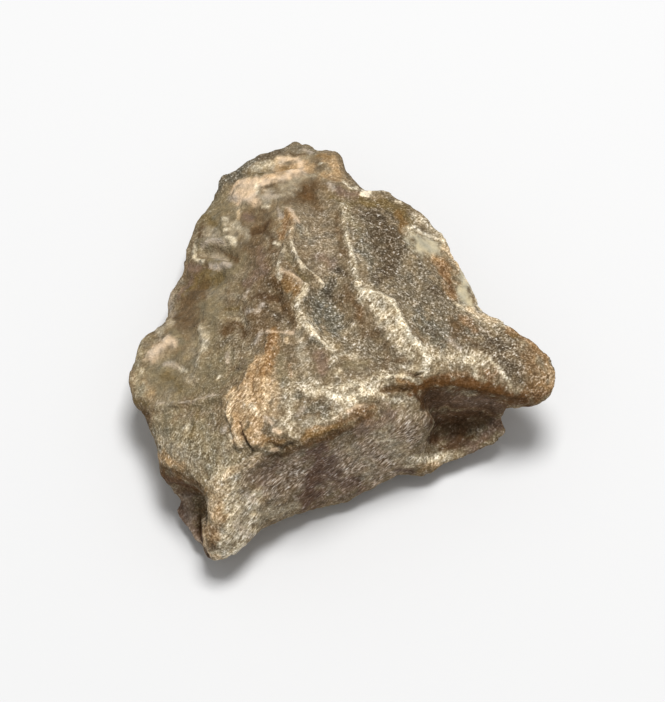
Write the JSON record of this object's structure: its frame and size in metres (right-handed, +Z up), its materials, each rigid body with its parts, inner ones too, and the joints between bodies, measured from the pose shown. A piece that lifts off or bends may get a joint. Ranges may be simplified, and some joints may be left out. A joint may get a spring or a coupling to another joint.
{
  "type": "lunar meteorite",
  "caption": "Small three-cornered broken stone of grey-brown feldspar breccia with a beak-like horn, an undercut hollow and a short nose, resting on a small flat foot.",
  "frame": {"origin": "centre of the bounding box, on the plane that the stone rests on", "axes": "+Z up as the stone rests, +X towards the horn, -Y towards the front wall and the nose"},
  "size_m": [0.024, 0.0256, 0.0088],
  "materials": {
    "stone": "matte"
  },
  "bodies": {
    "root": {"stone": "stone"}
  },
  "joints": []
}
